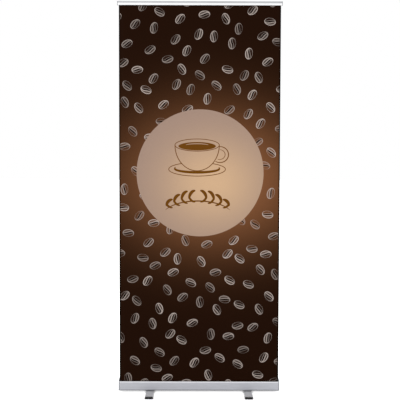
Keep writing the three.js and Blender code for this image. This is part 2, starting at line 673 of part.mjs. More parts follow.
// a plate hung from a round bead along its top edge, with a foot that presses the banner
function frontJaw() {
  const plateBack = RAIL_FRONT + RAIL_WALL - GAP;
  const footBack = -BANNER_THICKNESS / 2 - 2 * GAP;
  const footTop = RAIL_WALL;
  const beadAngle = Math.acos((plateBack - RAIL_BEAD_Y) / RAIL_BEAD_RADIUS);
  const section = new THREE.Shape();
  section.moveTo(RAIL_FRONT, 1.5);
  section.quadraticCurveTo(RAIL_FRONT, 0, RAIL_FRONT + 1.5, 0);
  section.lineTo(footBack, 0);
  section.lineTo(footBack, footTop);
  section.lineTo(plateBack, footTop);
  section.absarc(RAIL_BEAD_Y, RAIL_BEAD_Z, RAIL_BEAD_RADIUS, -beadAngle, Math.PI, false);
  section.closePath();
  return alongX(section, -JAW_LENGTH / 2, JAW_LENGTH / 2);
}

function gripStrip() {
  const front = BANNER_THICKNESS / 2 + GAP;
  return block(-JAW_LENGTH / 2, JAW_LENGTH / 2, front, front + GRIP_THICKNESS, 1, 1 + GRIP_HEIGHT);
}

// the right cap; its tab goes into the hook channel of the rear jaw
function railCap() {
  const outline = rectangle(RAIL_FRONT - RAIL_CAP_OVERHANG, RAIL_LIP_REAR + RAIL_CAP_OVERHANG,
    -RAIL_CAP_OVERHANG, RAIL_HEIGHT, RAIL_CAP_RADIUS);
  const outerFace = RAIL_LENGTH / 2;
  const innerFace = outerFace - RAIL_CAP_THICKNESS;
  const tab = block(innerFace - 10, innerFace + 1, RAIL_REAR_FACE + GAP, RAIL_LIP_FRONT - GAP,
    RAIL_CHANNEL_TOP - RAIL_CHANNEL_DEPTH + GAP, RAIL_CHANNEL_TOP - GAP);
  return shaped(alongX(outline, innerFace, outerFace), { add: [tab] });
}

function mirrored(mesh) {
  mesh.scale.x = -1;
  return mesh;
}

function clampRail() {
  const group = new THREE.Group();
  group.position.set(0, BANNER_Y, RAIL_UNDERSIDE);
  group.add(
    piece('rail_rear_jaw', rearJaw(), 'anodised'),
    piece('rail_front_jaw', frontJaw(), 'polished'),
    piece('rail_grip_strip', gripStrip(), 'rubber'),
    piece('rail_cap_right', railCap(), 'greyPlastic'),
    mirrored(piece('rail_cap_left', railCap(), 'greyPlastic')),
  );
  return group;
}

// ---------------------------------------------------------------- banner

function bannerSheet() {
  const bottom = HOUSING_UNDERSIDE + ROLLER_AXIS_HEIGHT;
  return block(-BANNER_WIDTH / 2, BANNER_WIDTH / 2, -BANNER_THICKNESS / 2, BANNER_THICKNESS / 2,
    bottom, RAIL_UNDERSIDE + BANNER_CLAMPED).translate(0, BANNER_Y, 0);
}

// ---------------------------------------------------------------- assembly

function base() {
  const group = new THREE.Group();
  group.position.z = HOUSING_UNDERSIDE;
  group.add(
    piece('base_housing', housing(), 'anodised'),
    piece('end_cap_right', endCap(), 'greyPlastic'),
    mirrored(piece('end_cap_left', endCap(), 'greyPlastic')),
  );
  ['front', 'rear'].forEach((name, i) => {
    const [y, z] = SCREW_PORTS[i];
    const right = piece(`cap_screw_right_${name}`, capScrew(), 'steel');
    const left = mirrored(piece(`cap_screw_left_${name}`, capScrew(), 'steel'));
    right.position.set(0, y, z);
    left.position.set(0, y, z);
    group.add(right, left);
  });
  return group;
}

function roller() {
  const group = new THREE.Group();
  group.position.set(0, ROLLER_Y, HOUSING_UNDERSIDE + ROLLER_AXIS_HEIGHT);
  const rodStart = HALF_HOUSING + END_CAP_RIM;
  const springStart = ROLLER_END - ROLLER_PLUG_LENGTH - 3;
  const collarStart = springStart - SPRING_LENGTH - 3;
  const coil = springWire(-springStart);
  const drive = lieAlongX(ring(AXLE_RADIUS + GAP, ROLLER_RADIUS - ROLLER_WALL - GAP,
    -collarStart, -collarStart + SPRING_COLLAR_LENGTH));
  group.add(
    piece('roller_tube', lieAlongX(ring(ROLLER_RADIUS - ROLLER_WALL, ROLLER_RADIUS,
      -ROLLER_END, ROLLER_END)), 'anodised'),
    piece('roller_plug_right', rollerPlug(AXLE_RADIUS + GAP), 'nylon'),
    mirrored(piece('roller_plug_left', rollerPlug(AXLE_RADIUS + GAP), 'nylon')),
    piece('axle_screw', axleScrew(), 'steel'),
    piece('spring_rod', lieAlongX(rod(AXLE_RADIUS, -rodStart, SPRING_ROD_LENGTH - rodStart, 16)), 'steel'),
    piece('torsion_spring', coil, 'steel'),
    piece('spring_drive_collar', drive, 'nylon'),
    piece('banner_roll', lieAlongX(ring(ROLLER_RADIUS + GAP, BANNER_ROLL_RADIUS,
      -BANNER_WIDTH / 2, BANNER_WIDTH / 2)), 'print'),
  );
  return group;
}

const bannerStand = new THREE.Group();
bannerStand.add(
  base(),
  roller(),
  foot('left'),
  foot('right'),
  pole(),
  clampRail(),
  piece('banner_sheet', bannerSheet(), 'print'),
);

export default bannerStand;
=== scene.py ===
import json
import math

import bmesh
import bpy
from bpy.props import FloatProperty, FloatVectorProperty, IntProperty, PointerProperty
from mathutils import Matrix, Vector


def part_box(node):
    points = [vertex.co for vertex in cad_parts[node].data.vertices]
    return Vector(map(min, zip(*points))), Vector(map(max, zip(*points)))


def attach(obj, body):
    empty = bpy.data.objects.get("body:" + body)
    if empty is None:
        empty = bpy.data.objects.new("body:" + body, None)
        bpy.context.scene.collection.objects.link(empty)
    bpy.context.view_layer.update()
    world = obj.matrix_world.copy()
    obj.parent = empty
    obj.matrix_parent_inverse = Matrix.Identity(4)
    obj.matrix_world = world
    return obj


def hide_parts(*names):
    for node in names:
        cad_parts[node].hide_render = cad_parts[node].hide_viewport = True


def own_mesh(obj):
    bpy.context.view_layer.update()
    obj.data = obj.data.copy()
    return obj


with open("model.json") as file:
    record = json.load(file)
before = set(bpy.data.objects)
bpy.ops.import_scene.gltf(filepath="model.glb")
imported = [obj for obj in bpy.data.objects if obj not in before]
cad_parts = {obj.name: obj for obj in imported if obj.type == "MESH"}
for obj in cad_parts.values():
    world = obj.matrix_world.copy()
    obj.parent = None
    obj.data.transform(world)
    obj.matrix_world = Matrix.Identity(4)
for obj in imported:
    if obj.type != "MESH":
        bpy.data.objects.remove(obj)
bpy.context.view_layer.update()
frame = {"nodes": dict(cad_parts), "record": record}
NODES = frame["nodes"]

bl_info = {
    "name": "Roll-up banner stand",
    "version": (1, 0, 0),
    "blender": (4, 5, 0),
    "location": "View3D > Sidebar > Banner stand",
    "description": "Finishes a roll-up banner stand around its packed frame",
    "category": "Object",
}


# ---------------------------------------------------------------- fixed numbers
# Lengths are in metres and plain angles in radians.

CAMERA_PLACE = (-0.006, -5.0, 1.332)
CAMERA_HEADING = math.radians(-0.103)
CAMERA_PITCH = math.radians(90 - 3.41)
CAMERA_ROLL = math.radians(0.155)
CAMERA_LENS = 84.4  # millimetres, on the sensor below
CAMERA_SENSOR = 36
CAMERA_SIGHT = 60  # how far it sees
LIGHTS_AIM = (0, 0, 1.0)
LIGHTS = (  # name, place, size and power in watts
    ("key_light", (-2.6, -3.4, 3.6), 2.4, 45),
    ("fill_light", (3.0, -3.0, 2.2), 2.4, 18),
    ("back_light", (0.6, 3.2, 3.4), 2.6, 30),
)
FLOOR_HALF_WIDTH = 30
FLOOR_SQUARES = 8
FLOOR_CONTACT = 0.011  # how near a piece has to be to dim the floor's glow
FLOOR_GLOW = 0.72

SHARP_ANGLE = math.radians(32)  # edges turned by more than this are sharp
FLAT_ANGLE = math.radians(0.6)  # faces within this of one plane become one face
WELD_DISTANCE = 1e-6
CHAMFER_SEGMENTS = 2
FOOT_CAP_SEGMENTS = 3
FILM_EDGE = 0.00005  # chamfer widths of the pieces that don't take the panel's
WIRE_EDGE = 0.0001
THIN_EDGE = 0.0002
BOLT_EDGE = 0.0003
CAP_EDGE = 0.0005
FOOT_CAP_EDGE = 0.0008

FILM_GRIP = 0.25  # how far from the slot or the rail the film hangs free
RIPPLE_ACROSS = (9.0, 0.6)  # radians a metre, and radians at the middle
RIPPLE_UP = (3.1, 0.4)
EDGE_CURL = 1.6  # in ripples
EDGE_CURL_POWER = 6
SORTING = (1, 1, 100)  # puts rows of the film's grid one after another

# Bands of painted light on metal, as shares of the mesh's height, with how softly they end
# painted shade on the rail's top
TOP_SHADE_BAND, TOP_SHADE_SOFTNESS = 0.46, 0.16
# painted shade along the housing's bottom edge
LOW_SHADE_BAND, LOW_SHADE_SOFTNESS = 0.13, 0.12
# painted highlight on the housing's lip
LIP_HIGHLIGHT_FROM, LIP_HIGHLIGHT_SOFTNESS = 0.79, 0.03
LIP_BACK = -0.036  # the housing's lip is in front of this

LINE_SOFTNESS = 0.0008
BEAN_SOFTNESS = 0.0007
BEAN_TILT = 0.42  # of the rows of beans
BEAN_OUTLINE = (0.0003, 0.0015)  # half width above and below
BEAN_OUTLINE_AT = 0.95  # of the bean's radius
BEAN_BODY = 0.9
CREASE_BEND = (1.9, 3.2)  # of the S that the crease makes
CREASE_SWING = 0.2
CREASE_WIDTH = 0.0046
RIDGE_GAP = 0.0012  # from the crease to the ridge beside it
RIDGE_WIDTH = (0.0006, 0.0014)
STRIPE_PITCH = 0.0072
BEAN_SHADING = (0.04, 0.42)  # of the upper and lower half
BEAN_STRENGTH = (0.45, 0.95)

DISC_X = 0.003
PRINT_GLOW = {"aside": 0.07, "below": 0.037, "squeeze": 0.74, "reach": 0.325}
DISC_GLOW = {"aside": 0.07, "below": 0.052, "squeeze": 0.88, "reach": 0.24}
GLOW_FALLOFF = 2.0
CUP_OFFSET = (-0.016, 0.148)  # from the disc's middle
SPRIG_OFFSET = (-0.012, -0.158)
LEAVES = ((0.03, 0.05), (0.024, 0.052), (0.01, 0.048), (-0.008, 0.04))  # rise and length
FIRST_LEAF = 0.012
LEAF_PITCH = 0.04


# ---------------------------------------------------------------- settings


def paint(red, green, blue):
    """A screen colour, 0 to 255 a channel, as the linear colour that a shader takes."""
    def linear(channel):
        value = channel / 255
        return value / 12.92 if value <= 0.04045 else ((value + 0.055) / 1.055) ** 2.4
    return tuple(linear(channel) for channel in (red, green, blue))


RUBBED_METAL = paint(226, 226, 228)
RUBBED_STEEL = paint(225, 225, 226)
DUST_ON_METAL = paint(150, 146, 140)
DUST_ON_PLASTIC = paint(140, 136, 130)
CLOUDED_FILM = paint(198, 198, 198)
BEAN_CREASE = paint(12, 6, 3)
PRINT_BORDER = paint(11, 4, 2)
PRINT_DOTS = paint(20, 12, 8)
WARM_STEEL = (1.04, 1.0, 0.93)


def length(name, description, default):
    return FloatProperty(
        name=name, description=description, default=default, subtype="DISTANCE", unit="LENGTH",
    )


def colour(name, description, default):
    return FloatVectorProperty(
        name=name, description=description, default=default, subtype="COLOR", min=0, max=1,
    )


class StandSizes(bpy.types.PropertyGroup):
    film_thickness: length("Film thickness", "Thickness of the printed film", 0.0003)
    film_columns: IntProperty(
        name="Film columns", description="Grid squares across the film", default=34,
    )
    film_rows: IntProperty(name="Film rows", description="Grid squares up the film", default=80)
    film_ripple: length("Film ripple", "How far the hanging film stands out of flat", 0.0006)
    bean_length: length("Bean length", "Length of a printed bean", 0.06)
    bean_width: length("Bean width", "Width of a printed bean", 0.039)
    bean_pitch: length("Bean pitch", "Distance between printed beans", 0.102)
    bean_scatter: FloatProperty(
        name="Bean scatter", description="How far beans leave their rows", default=0.42,
    )
    disc_radius: length("Disc radius", "Radius of the printed disc", 0.336)
    disc_height: length("Disc height", "Height of the disc's centre above the floor", 1.179)
    print_margin: length("Print margin", "Dark border around the print", 0.006)
    edge_width: length(
        "Edge width", "Width of the small chamfer on machined and moulded edges", 0.0004,
    )


class StandColours(bpy.types.PropertyGroup):
    print_dark: colour("Dark print", "Print far from the glow", paint(28, 11, 3))
    print_glow: colour("Glow", "Print at the middle of the glow", paint(137, 89, 57))
    bean_line: colour("Bean line", "Lines of the printed beans", paint(198, 184, 176))
    disc_rim: colour("Disc rim", "Disc far from the glow", paint(150, 127, 115))
    disc_glow: colour("Disc glow", "Disc at the middle of the glow", paint(199, 165, 131))
    drawing: colour("Drawing", "Lines drawn on the disc", paint(102, 62, 16))
    film_back: colour("Film back", "Unprinted back of the film", paint(176, 177, 178))
    aluminium: colour("Aluminium", "Anodised extrusions", paint(186, 187, 194))
    bright_aluminium: colour("Bright aluminium", "Front of the clamp rail", paint(243, 243, 244))
    foot_aluminium: colour("Foot aluminium", "Bars of the feet", paint(210, 210, 214))
    # colour of the painted shade along the housing's bottom edge
    housing_low_shade: colour(
        "Housing's low shade", "Painted shade along the housing's bottom edge", paint(140, 141, 145),
    )
    # colour of the painted highlight on the housing's lip
    housing_lip_highlight: colour("Housing's lip highlight", "Painted highlight on the lip that the film rubs", paint(236, 236, 240))
    # colour of the painted shade along the top of the clamp rail
    rail_top_shade: colour("Rail top shade", "Painted shade on the bead along the top of the clamp rail", paint(164, 165, 168))
    steel: colour("Steel", "Screws, nuts and springs", paint(172, 173, 176))
    grey_plastic: colour("Grey plastic", "End caps", paint(132, 134, 139))
    black_plastic: colour(
        "Black plastic", "Foot caps, socket, hook and collars", paint(15, 15, 18),
    )
    nylon: colour("Nylon", "Plugs, ferrules and washers", paint(206, 204, 196))
    rubber: colour("Rubber", "Grip strip in the rail", paint(30, 30, 31))
    floor: colour("Floor", "Studio floor", paint(250, 250, 249))


def sizes():
    return bpy.context.scene.banner_stand_sizes


def colours():
    return bpy.context.scene.banner_stand_colours


def tinted(base, gain, lift=0.0):
    """A colour made lighter or darker, and kept under 1."""
    return tuple(min(1.0, channel * gain + lift) for channel in base)


# ---------------------------------------------------------------- shader helpers


def node(tree, kind, *values, **settings):
    """Adds a node. values fill its inputs in order. settings fill its attributes, or else its
    inputs of that name, with _ for a space."""
    made = tree.nodes.new(kind)
    for name, value in settings.items():
        if hasattr(made, name):
            setattr(made, name, value)
        else:
            feed(tree, made.inputs[name.replace("_", " ").title()], value)
    for socket, value in zip(made.inputs, values):
        feed(tree, socket, value)
    return made


def feed(tree, socket, value):
    """Links a socket's value to this one, or sets a constant on it. None leaves it alone."""
    if value is None:
        return
    if isinstance(value, bpy.types.NodeSocket):
        tree.links.new(value, socket)
    else:
        socket.default_value = value


def calc(tree, operation, *values, clamp=False):
    made = node(tree, "ShaderNodeMath", *values, operation=operation, use_clamp=clamp)
    return made.outputs[0]


def chained(tree, operation, values):
    total = values[0]
    for value in values[1:]:
        total = calc(tree, operation, total, value)
    return total


def times(tree, *values):
    return chained(tree, "MULTIPLY", values)


def strongest(tree, *masks):
    """The mask that covers whatever any of these covers."""
    return chained(tree, "MAXIMUM", masks)


def inverse(tree, mask):
    return calc(tree, "SUBTRACT", 1.0, mask)


def hypotenuse(tree, across, up):
    squares = calc(tree, "ADD", times(tree, across, across), times(tree, up, up))
    return calc(tree, "SQRT", squares)


def in_reaches(tree, value, middle, reach):
    """How far a value is from the middle, counted in reaches."""
    return calc(tree, "DIVIDE", calc(tree, "SUBTRACT", value, middle), reach)


def within(tree, distance, reach, softness):
    """1 where distance is under reach, falling to 0 over softness."""
    spare = calc(tree, "SUBTRACT", reach, distance)
    return calc(tree, "MULTIPLY_ADD", spare, 1 / softness, 0.5, clamp=True)


def mixed(tree, mask, first, second):
    """The first colour where the mask is 0, and the second where it is 1."""
    made = tree.nodes.new("ShaderNodeMix")
    made.data_type = "RGBA"
    feed(tree, made.inputs["Factor"], mask)
    for label, value in (("A", first), ("B", second)):
        linked = isinstance(value, bpy.types.NodeSocket)
        feed(tree, made.inputs[label], value if linked else (*value, 1))
    return made.outputs["Result"]


def ranged(tree, value, low, high, from_low=0.0, from_high=1.0):
    """Stretches a value from one range to another, without leaving the second."""
    return node(tree, "ShaderNodeMapRange", value, from_low, from_high, low, high).outputs[0]


def noise(tree, point, scale, detail, roughness=None):
    made = node(
        tree, "ShaderNodeTexNoise", Vector=point, Scale=scale, Detail=detail, Roughness=roughness,
    )
    return made.outputs["Fac"]


def split_xyz(tree, vector):
    return node(tree, "ShaderNodeSeparateXYZ", vector).outputs


def turned(tree, point, turn):
    mapping = node(tree, "ShaderNodeMapping", point)
    mapping.inputs["Rotation"].default_value = turn
    return mapping.outputs[0]


def object_point(tree, turn=(0, 0, 0)):
    """Object coordinates, turned by a Mapping node."""
    return turned(tree, tree.nodes.new("ShaderNodeTexCoord").outputs["Object"], turn)


def mesh_rise(tree):
    """0 at the bottom of a machined mesh and 1 at its top."""
    return node(tree, "ShaderNodeAttribute", attribute_name="rise").outputs["Fac"]


def group(name, inputs, outputs):
    """A new shader node group. inputs give (name, socket type, default), and outputs give
    names of floats."""
    tree = bpy.data.node_groups.new(name, "ShaderNodeTree")
    for label, kind, default in inputs:
        socket = tree.interface.new_socket(label, in_out="INPUT", socket_type=kind)
        if default is not None:
            socket.default_value = default
    for label in outputs:
        tree.interface.new_socket(label, in_out="OUTPUT", socket_type=FLOAT)
    inner = tree.nodes.new("NodeGroupInput").outputs
    outer = tree.nodes.new("NodeGroupOutput").inputs
    return tree, inner, outer


def placed(tree, shared_group, **inputs):
    """Places a shared node group in a material and fills its named inputs."""
    made = tree.nodes.new("ShaderNodeGroup")
    made.node_tree = shared_group
    for name, value in inputs.items():
        feed(tree, made.inputs[name.replace("_", " ").title()], value)
    return made.outputs


FLOAT = "NodeSocketFloat"
VECTOR = "NodeSocketVector"
POINT = ("Point", VECTOR, None)


# ---------------------------------------------------------------- shared surface effects


def make_drawn_lines():
    """The long fine lines that a die leaves on an extrusion. They run along the point's X."""
    tree, inner, outer = group(
        "drawn lines", [POINT, ("Fineness", FLOAT, 900.0)], ["Lines", "Cloud"],
    )
    along_x = (0.006, 1.0, 1.0)
    stretched = node(
        tree, "ShaderNodeVectorMath", inner["Point"], along_x, operation="MULTIPLY",
    ).outputs[0]
    feed(tree, outer["Lines"], noise(tree, stretched, inner["Fineness"], 3.0, roughness=0.62))
    feed(tree, outer["Cloud"], noise(tree, inner["Point"], 7.0, 2.0))
    return tree


def make_edge_wear():
    """A mask of outer edges that handling has rubbed."""
    tree, inner, outer = group(
        "edge wear", [POINT, ("Width", FLOAT, 0.0008), ("Breakup", FLOAT, 120.0)], ["Mask"],
    )
    rounded = tree.nodes.new("ShaderNodeBevel")
    rounded.samples = 4
    feed(tree, rounded.inputs["Radius"], inner["Width"])
    flat = tree.nodes.new("ShaderNodeNewGeometry").outputs["Normal"]
    likeness = node(
        tree, "ShaderNodeVectorMath", rounded.outputs[0], flat, operation="DOT_PRODUCT",
    ).outputs["Value"]
    contrast = 6.0
    edge = calc(tree, "MULTIPLY", inverse(tree, likeness), contrast, clamp=True)
    patches = noise(tree, inner["Point"], inner["Breakup"], 4.0)
    broken = ranged(tree, patches, 0.0, 1.0, from_low=0.42, from_high=0.62)
    feed(tree, outer["Mask"], times(tree, edge, broken))
    return tree


def make_moulded_grain():
    """The fine leathery spark finish of a moulding."""
    tree, inner, outer = group(
        "moulded grain", [POINT, ("Grain", FLOAT, 1400.0)], ["Height", "Shade"],
    )
    cells = node(tree, "ShaderNodeTexVoronoi", Vector=inner["Point"], Scale=inner["Grain"])
    feed(tree, outer["Height"], cells.outputs["Distance"])
    feed(tree, outer["Shade"], noise(tree, inner["Point"], 22.0, 3.0))
    return tree


def make_settled_dust():
    """A mask of dust on what faces up."""
    tree, inner, outer = group("settled dust", [POINT, ("Amount", FLOAT, 0.25)], ["Mask"])
    normal = tree.nodes.new("ShaderNodeNewGeometry").outputs["Normal"]
    steepest = 0.55
    contrast = 6.0
    upward = calc(tree, "SUBTRACT", split_xyz(tree, normal)["Z"], steepest, clamp=True)
    specks = noise(tree, inner["Point"], 260.0, 5.0)
    drift = noise(tree, inner["Point"], 9.0, 2.0)
    cover = times(tree, upward, specks, drift, inner["Amount"])
    feed(tree, outer["Mask"], calc(tree, "MULTIPLY", cover, contrast, clamp=True))
    return tree


# ---------------------------------------------------------------- shared print shapes


def make_stroke():
    """A drawn arc of an ellipse. Start and Sweep are in turns, and Taper thins the ends."""
    tree, inner, outer = group(
        "drawn stroke",
        [
            POINT, ("Middle X", FLOAT, 0.0), ("Middle Y", FLOAT, 0.0),
            ("Reach X", FLOAT, 0.1), ("Reach Y", FLOAT, 0.1),
            ("Start", FLOAT, 0.0), ("Sweep", FLOAT, 1.0),
            ("Width", FLOAT, 0.003), ("Taper", FLOAT, 1.0),
        ],
        ["Mask"],
    )
    point = split_xyz(tree, inner["Point"])
    across = in_reaches(tree, point["X"], inner["Middle X"], inner["Reach X"])
    up = in_reaches(tree, point["Y"], inner["Middle Y"], inner["Reach Y"])
    radius = hypotenuse(tree, across, up)
    slope_x = calc(tree, "DIVIDE", across, inner["Reach X"])
    slope_y = calc(tree, "DIVIDE", up, inner["Reach Y"])
    slope = calc(tree, "MAXIMUM", hypotenuse(tree, slope_x, slope_y), 0.0001)
    off_line = calc(tree, "ABSOLUTE", calc(tree, "SUBTRACT", radius, 1.0))
    distance = calc(tree, "DIVIDE", times(tree, off_line, radius), slope)
    turn = calc(tree, "DIVIDE", calc(tree, "ARCTAN2", up, across), math.tau)
    whole_turns = 2.0  # keeps the difference of two turns above 0
    past_start = calc(tree, "ADD", calc(tree, "SUBTRACT", turn, inner["Start"]), whole_turns)
    share = calc(tree, "DIVIDE", calc(tree, "FRACT", past_start), inner["Sweep"])
    drawn = calc(tree, "LESS_THAN", share, 1.0)
    lens = times(tree, share, inverse(tree, share), 4.0)
    swell = calc(tree, "SQRT", calc(tree, "MAXIMUM", lens, 0.0))
    fullness = calc(
        tree, "ADD", inverse(tree, inner["Taper"]), times(tree, inner["Taper"], swell),
    )
    half_width = times(tree, inner["Width"], 0.5, fullness)
    inked = within(tree, distance, half_width, LINE_SOFTNESS)
    feed(tree, outer["Mask"], times(tree, drawn, inked))
    return tree


def make_bean():
    """Scattered bean drawings: a mask of their lines, and one of the dark hollow in the crease."""
    tree, inner, outer = group(
        "scattered beans",
        [
            POINT, ("Pitch", FLOAT, 0.09), ("Scatter", FLOAT, 0.4),
            ("Length", FLOAT, 0.062), ("Breadth", FLOAT, 0.045),
        ],
        ["Lines", "Hollow"],
    )
    cells = tree.nodes.new("ShaderNodeTexVoronoi")
    cells.voronoi_dimensions = "2D"
    feed(tree, cells.inputs["Vector"], inner["Point"])
    feed(tree, cells.inputs["Scale"], calc(tree, "DIVIDE", 1.0, inner["Pitch"]))
    feed(tree, cells.inputs["Randomness"], inner["Scatter"])
    from_middle = node(
        tree, "ShaderNodeVectorMath", inner["Point"], cells.outputs["Position"],
        operation="SUBTRACT",
    ).outputs[0]
    chance = node(tree, "ShaderNodeSeparateColor", cells.outputs["Color"]).outputs
    spun = tree.nodes.new("ShaderNodeVectorRotate")
    spun.rotation_type = "Z_AXIS"
    feed(tree, spun.inputs["Vector"], from_middle)
    feed(tree, spun.inputs["Angle"], times(tree, chance["Red"], math.tau))
    local = split_xyz(tree, spun.outputs[0])
    half_length = times(tree, inner["Length"], 0.5)
    half_breadth = times(tree, inner["Breadth"], 0.5)
    across = calc(tree, "DIVIDE", local["X"], half_length)
    up = calc(tree, "DIVIDE", local["Y"], half_breadth)
    radius = hypotenuse(tree, across, up)

    downward = calc(tree, "MULTIPLY_ADD", up, -0.5, 0.5)
    off_outline = calc(tree, "ABSOLUTE", calc(tree, "SUBTRACT", radius, BEAN_OUTLINE_AT))
    from_outline = times(tree, off_outline, half_breadth)
    outline = within(tree, from_outline, ranged(tree, downward, *BEAN_OUTLINE), BEAN_SOFTNESS)

    bend = ranged(tree, chance["Green"], *CREASE_BEND)
    swing = calc(tree, "SINE", times(tree, across, bend))
    crease_y = times(tree, swing, CREASE_SWING, half_breadth)
    below = calc(tree, "SUBTRACT", crease_y, local["Y"])
    from_crease = calc(tree, "ABSOLUTE", below)
    thinning = inverse(tree, times(tree, across, across, 0.9))
    crease = times(tree, thinning, CREASE_WIDTH)
    body_edge = times(tree, half_breadth, BEAN_BODY)
    body = within(tree, times(tree, radius, half_breadth), body_edge, LINE_SOFTNESS)
    hollow = times(tree, body, within(tree, from_crease, crease, LINE_SOFTNESS))

    lower_half = calc(tree, "GREATER_THAN", below, 0.0)
    ridge_at = calc(tree, "ADD", crease, RIDGE_GAP)
    from_ridge = calc(tree, "ABSOLUTE", calc(tree, "SUBTRACT", from_crease, ridge_at))
    ridge_width = ranged(tree, lower_half, *RIDGE_WIDTH)
    ridge = times(tree, body, within(tree, from_ridge, ridge_width, BEAN_SOFTNESS))

    engraving = calc(tree, "SINE", times(tree, from_crease, math.tau / STRIPE_PITCH))
    stripes = calc(tree, "MULTIPLY_ADD", engraving, 1.5, 0.2, clamp=True)
    beside_crease = calc(tree, "SUBTRACT", body, hollow, clamp=True)
    shading = times(tree, beside_crease, stripes, ranged(tree, lower_half, *BEAN_SHADING))
    strength = ranged(tree, chance["Blue"], *BEAN_STRENGTH)
    feed(tree, outer["Lines"], times(tree, strongest(tree, outline, ridge, shading), strength))
    feed(tree, outer["Hollow"], hollow)
    return tree


SHARED = {}


def shared(name):
    """A shared node group, built the first time that a material asks for it."""
    makers = {
        "drawn lines": make_drawn_lines,
        "edge wear": make_edge_wear,
        "moulded grain": make_moulded_grain,
        "settled dust": make_settled_dust,
        "drawn stroke": make_stroke,
        "scattered beans": make_bean,
    }
    if name not in SHARED:
        SHARED[name] = makers[name]()
    return SHARED[name]


# ---------------------------------------------------------------- materials


def new_material(name):
    material = bpy.data.materials.new(name)
    material.use_nodes = True
    tree = material.node_tree
    return material, tree, tree.nodes["Principled BSDF"]


def bumped(tree, surface, height, distance, strength=1.0):
    bump = tree.nodes.new("ShaderNodeBump")
    bump.inputs["Distance"].default_value = distance
    bump.inputs["Strength"].default_value = strength
    feed(tree, bump.inputs["Height"], height)
    feed(tree, surface.inputs["Normal"], bump.outputs[0])


def worn(tree, point, width=None):
    return placed(tree, shared("edge wear"), Point=point, Width=width)["Mask"]


def dusted(tree, point):
    return placed(tree, shared("settled dust"), Point=point)["Mask"]


ALONG_X = (0, 0, 0)
ALONG_Y = (0, 0, math.pi / 2)
ALONG_Z = (0, math.pi / 2, 0)


def drawn_metal(name, base, turn, roughness, metallic, top=None, housing=False):
    """Anodised or polished extrusion, with die lines along it, clouding, rubbed edges and dust.
    top is the colour of the painted shade on the mesh's upper half. On the housing, painted shade
    darkens the bottom edge and a painted highlight brightens the lip that the film rubs."""
    material, tree, surface = new_material(name)
    point = object_point(tree)
    lines = placed(tree, shared("drawn lines"), Point=object_point(tree, turn))
    wear = worn(tree, point)
    dust = dusted(tree, point)
    lighter = tinted(base, 1.1)
    streaked = mixed(tree, lines["Lines"], tinted(base, 0.86), lighter)
    if top is not None:
        # painted shade on the upper half of the mesh
        from_top = inverse(tree, mesh_rise(tree))
        streaked = mixed(tree, within(tree, from_top, TOP_SHADE_BAND, TOP_SHADE_SOFTNESS), streaked, top)
    if housing:
        # painted shade along the housing's bottom edge
        rise = mesh_rise(tree)
        low_shade = within(tree, rise, LOW_SHADE_BAND, LOW_SHADE_SOFTNESS)
        streaked = mixed(tree, low_shade, streaked, colours().housing_low_shade)
        # painted highlight on the housing's lip
        in_front = calc(tree, "LESS_THAN", split_xyz(tree, point)["Y"], LIP_BACK)
        lip = times(tree, in_front, within(tree, LIP_HIGHLIGHT_FROM, rise, LIP_HIGHLIGHT_SOFTNESS))
        streaked = mixed(tree, lip, streaked, colours().housing_lip_highlight)
    clouded = mixed(tree, times(tree, lines["Cloud"], 0.3), streaked, lighter)
    rubbed = mixed(tree, times(tree, wear, 0.5), clouded, RUBBED_METAL)
    feed(tree, surface.inputs["Base Color"], mixed(tree, dust, rubbed, DUST_ON_METAL))
    grain = ranged(tree, lines["Lines"], roughness - 0.07, roughness + 0.09)
    dulled = calc(tree, "ADD", grain, times(tree, dust, 0.3), clamp=True)
    feed(tree, surface.inputs["Roughness"], dulled)
    surface.inputs["Metallic"].default_value = metallic
    bumped(tree, surface, lines["Lines"], 0.00006)
    return material


def moulded_plastic(name, base, roughness, grain=1400.0):
    """Injection-moulded plastic with a spark-eroded grain, flow clouding, scuffs and dust."""
    material, tree, surface = new_material(name)
    point = object_point(tree)
    texture = placed(tree, shared("moulded grain"), Point=point, Grain=grain)
    wear = worn(tree, point, 0.0006)
    dust = dusted(tree, point)
    mottled = mixed(tree, texture["Shade"], base, tinted(base, 1.25, 0.008))
    scuffed = mixed(tree, times(tree, wear, 0.35), mottled, tinted(base, 1.6, 0.04))
    feed(tree, surface.inputs["Base Color"], mixed(tree, dust, scuffed, DUST_ON_PLASTIC))
    shine = ranged(tree, texture["Shade"], roughness - 0.08, roughness + 0.1)
    feed(tree, surface.inputs["Roughness"], shine)
    surface.inputs["Specular IOR Level"].default_value = 0.22
    bumped(tree, surface, texture["Height"], 0.00012, 0.6)
    return material


def turned_steel(name, base):
    """Zinc-plated steel with fine turning marks and a faint warm and cool clouding."""
    material, tree, surface = new_material(name)
    point = object_point(tree)
    rings = noise(tree, point, 1900.0, 2.0)
    wear = worn(tree, point, 0.0004)
    warm = tuple(channel * factor for channel, factor in zip(base, WARM_STEEL))
    plated = mixed(tree, noise(tree, point, 60.0, 3.0), warm, base)
    rubbed = mixed(tree, times(tree, wear, 0.6), plated, RUBBED_STEEL)
    feed(tree, surface.inputs["Base Color"], rubbed)
    feed(tree, surface.inputs["Roughness"], ranged(tree, rings, 0.24, 0.42))
    surface.inputs["Metallic"].default_value = 1.0
    bumped(tree, surface, rings, 0.00003)
    return material


def soft_rubber(name, base):
    """Grained rubber with a dusty bloom."""
    material, tree, surface = new_material(name)
    point = object_point(tree)
    bloom = noise(tree, point, 80.0, 4.0)
    grain = placed(tree, shared("moulded grain"), Point=point, Grain=2200.0)["Height"]
    feed(tree, surface.inputs["Base Color"], mixed(tree, bloom, base, tinted(base, 1.7, 0.01)))
    feed(tree, surface.inputs["Roughness"], ranged(tree, bloom, 0.7, 0.92))
    bumped(tree, surface, grain, 0.0001)
    return material


